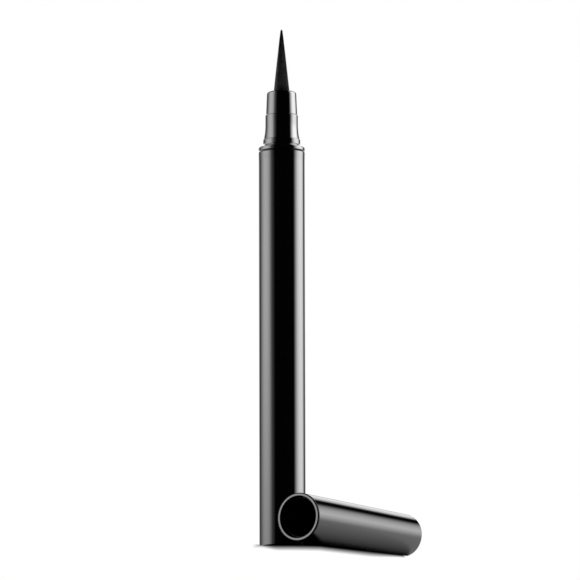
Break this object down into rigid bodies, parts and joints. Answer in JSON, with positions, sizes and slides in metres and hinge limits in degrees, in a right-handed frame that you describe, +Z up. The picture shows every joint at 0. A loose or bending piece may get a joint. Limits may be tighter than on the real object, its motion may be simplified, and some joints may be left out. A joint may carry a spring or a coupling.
{
  "type": "liquid eyeliner pen",
  "caption": "Slim black liquid eyeliner pen with a tapered brush tip, standing on its flat base, its sprung cap taken off and lying next to it.",
  "frame": {"origin": "centre of the pen's flat base, where the pen's axis meets the surface it stands on", "axes": "+Z up along the pen's axis from its base to the brush's point; +X along the lying cap, from its mouth to its closed end; the cap lies on the -Y side of the barrel"},
  "size_m": [0.0455, 0.0216, 0.1186],
  "materials": {
    "barrel_lacquer": "gloss",
    "section_plastic": "gloss",
    "cap_lacquer": "gloss",
    "bristle": "satin",
    "inner_plastic": "satin",
    "tank_plastic": "translucent",
    "natural_plastic": "satin",
    "feed_fibre": "felt",
    "seal_rubber": "matte",
    "ferrule_metal": "satin",
    "steel": "polished"
  },
  "bodies": {
    "pen": {"barrel_sleeve": "barrel_lacquer", "tail_plug": "section_plastic", "tail_seal": "seal_rubber", "ink_tank": "tank_plastic", "tank_bung": "natural_plastic", "collector_comb": "natural_plastic", "feed_core": "feed_fibre", "feed_pipe": "natural_plastic", "front_section": "section_plastic", "section_seal": "seal_rubber", "nib_holder": "section_plastic", "brush_retainer": "natural_plastic", "brush_ferrule": "ferrule_metal", "brush_tip": "bristle"},
    "cap": {"cap_shell": "cap_lacquer", "cap_liner": "inner_plastic", "cap_spring": "steel"},
    "inner_cap": {"inner_cap": "inner_plastic"},
    "ball_a": {"mixing_ball_a": "steel"},
    "ball_b": {"mixing_ball_b": "steel"}
  },
  "joints": [
    {"name": "cap_lift", "type": "slide", "parent": "pen", "child": "cap", "axis": [0, 0, 1], "range_m": [0, 0.125]},
    {"name": "inner_cap_slide", "type": "slide", "parent": "cap", "child": "inner_cap", "axis": [0.9999, 0, -0.0121], "range_m": [0, 0.0015], "stiffness_N_per_m": 300, "springref_m": -0.001, "deforming": ["cap_spring"]},
    {"name": "ball_a_travel", "type": "slide", "parent": "pen", "child": "ball_a", "axis": [0, 0, 1], "range_m": [0, 0.043]},
    {"name": "ball_b_travel", "type": "slide", "parent": "pen", "child": "ball_b", "axis": [0, 0, 1], "range_m": [0, 0.043]}
  ]
}
